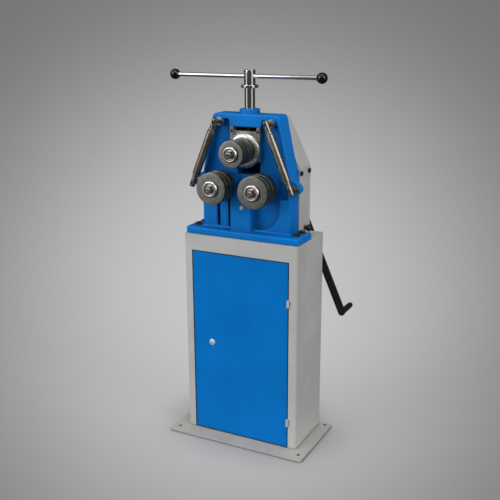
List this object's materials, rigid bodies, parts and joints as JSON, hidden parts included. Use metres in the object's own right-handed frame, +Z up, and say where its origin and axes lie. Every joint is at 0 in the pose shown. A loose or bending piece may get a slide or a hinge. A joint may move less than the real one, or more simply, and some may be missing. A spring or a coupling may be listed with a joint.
{
  "type": "angle and pipe bending machine",
  "caption": "Hand-cranked ring roller for bar and tube: geared lower rolls and a screw-fed upper roll in a cast head on a lockable cabinet stand.",
  "frame": {"origin": "floor level, under the middle of the cabinet", "axes": "+X to the right seen from the front, +Y to the back (the crank side), +Z up"},
  "size_m": [0.5863, 0.3986, 1.268],
  "materials": {
    "blue_paint_cast": "gloss enamel on cast iron",
    "blue_paint_sheet": "smooth gloss enamel",
    "grey_paint": "satin enamel",
    "roll_steel": "turned",
    "bright_steel": "polished",
    "dark_steel": "oiled",
    "bronze": "machined",
    "black_paint": "semi-gloss enamel",
    "black_gloss": "moulded gloss",
    "grip_plastic": "moulded"
  },
  "bodies": {
    "stand": {"base_plate": "grey_paint", "cabinet_shell": "grey_paint", "top_stiffener": "dark_steel", "frame_hinges": "dark_steel", "head_casting": "blue_paint_cast", "head_bolts": "dark_steel", "grease_nipple": "bright_steel", "shaft_bushes": "bronze", "idler_stud": "bright_steel", "rear_plate": "dark_steel", "plate_posts": "dark_steel", "gear_cover": "grey_paint", "cover_screws": "dark_steel", "cover_catch": "dark_steel", "guide_rails": "bright_steel", "rail_screws": "dark_steel", "spindle_nut": "bronze", "guide_axles": "bright_steel", "guide_rings": "bright_steel", "guide_studs": "bright_steel"},
    "door": {"door_panel": "blue_paint_sheet", "door_hinges": "dark_steel", "lock_body": "bright_steel", "lock_nut": "dark_steel"},
    "lock": {"lock_plug": "bright_steel", "lock_cam": "dark_steel"},
    "right_roll": {"lower_right_shaft": "bright_steel", "right_roll_gear": "dark_steel", "lower_right_roll_discs": "roll_steel", "lower_right_roll_spacers": "roll_steel", "lower_right_roll_washer": "bright_steel", "lower_right_roll_nut": "bright_steel", "crank_arm": "black_paint", "crank_nut": "dark_steel", "crank_grip_pin": "dark_steel"},
    "left_roll": {"lower_left_shaft": "bright_steel", "left_roll_gear": "dark_steel", "lower_left_roll_discs": "roll_steel", "lower_left_roll_spacers": "roll_steel", "lower_left_roll_washer": "bright_steel", "lower_left_roll_nut": "bright_steel"},
    "idler": {"idler_gear": "dark_steel"},
    "crank_grip": {"crank_grip": "grip_plastic"},
    "slide": {"slide_block": "dark_steel", "upper_bushes": "bronze", "bearing_cap": "bright_steel", "thrust_plate": "dark_steel"},
    "upper_roll": {"upper_shaft": "bright_steel", "upper_ring_nut": "dark_steel", "upper_roll_discs": "roll_steel", "upper_roll_spacers": "roll_steel", "upper_roll_washer": "bright_steel", "upper_roll_nut": "bright_steel"},
    "spindle": {"spindle": "bright_steel", "stop_collar": "bright_steel"},
    "tommy_bar": {"tommy_bar": "bright_steel", "ball_knobs": "black_gloss"},
    "left_guide": {"left_guide_sleeve": "bright_steel"},
    "right_guide": {"right_guide_sleeve": "bright_steel"},
    "cover_clamp": {"clamp_knob": "black_gloss"}
  },
  "joints": [
    {"name": "door_hinge", "type": "hinge", "parent": "stand", "child": "door", "pos_m": [0.18, -0.115, 0.3175], "axis": [0, 0, 1], "range_deg": [0, 120]},
    {"name": "lock_turn", "type": "hinge", "parent": "door", "child": "lock", "pos_m": [-0.108, -0.11, 0.346], "axis": [0, -1, 0], "range_deg": [0, 90]},
    {"name": "right_roll_spin", "type": "hinge", "parent": "stand", "child": "right_roll", "pos_m": [0.075, 0, 0.898], "axis": [0, 1, 0], "continuous": true},
    {"name": "left_roll_spin", "type": "hinge", "parent": "stand", "child": "left_roll", "pos_m": [-0.075, 0, 0.898], "axis": [0, 1, 0], "continuous": true},
    {"name": "idler_spin", "type": "hinge", "parent": "stand", "child": "idler", "pos_m": [0, 0.034, 0.898], "axis": [0, 1, 0], "continuous": true},
    {"name": "grip_spin", "type": "hinge", "parent": "right_roll", "child": "crank_grip", "pos_m": [0.27677, 0.17, 0.44052], "axis": [0, 1, 0], "continuous": true},
    {"name": "slide_feed", "type": "slide", "parent": "stand", "child": "slide", "axis": [0, 0, 1], "range_m": [-0.036, 0.008]},
    {"name": "spindle_turn", "type": "hinge", "parent": "slide", "child": "spindle", "pos_m": [0, -0.027, 1.1], "axis": [0, 0, 1], "range_deg": [-2588, 572]},
    {"name": "upper_roll_spin", "type": "hinge", "parent": "slide", "child": "upper_roll", "pos_m": [0, -0.08, 1.015], "axis": [0, 1, 0], "continuous": true},
    {"name": "tommy_bar_slide", "type": "slide", "parent": "spindle", "child": "tommy_bar", "axis": [1, 0, 0], "range_m": [-0.205, 0.236]},
    {"name": "left_guide_spin", "type": "hinge", "parent": "stand", "child": "left_guide", "pos_m": [-0.1355, -0.097, 1.002], "axis": [0.3846, 0, 0.9231], "continuous": true},
    {"name": "right_guide_spin", "type": "hinge", "parent": "stand", "child": "right_guide", "pos_m": [0.1355, -0.097, 1.002], "axis": [-0.3846, 0, 0.9231], "continuous": true},
    {"name": "cover_clamp_turn", "type": "hinge", "parent": "stand", "child": "cover_clamp", "pos_m": [0.165, 0.049, 0.75], "axis": [1, 0, 0], "continuous": true}
  ],
  "couplings": [
    {"joint": "left_roll_spin", "follows": "right_roll_spin", "ratio": 1},
    {"joint": "idler_spin", "follows": "right_roll_spin", "ratio": -1.5},
    {"joint": "slide_feed", "follows": "spindle_turn", "m_per_rad": 0.00079577}
  ]
}
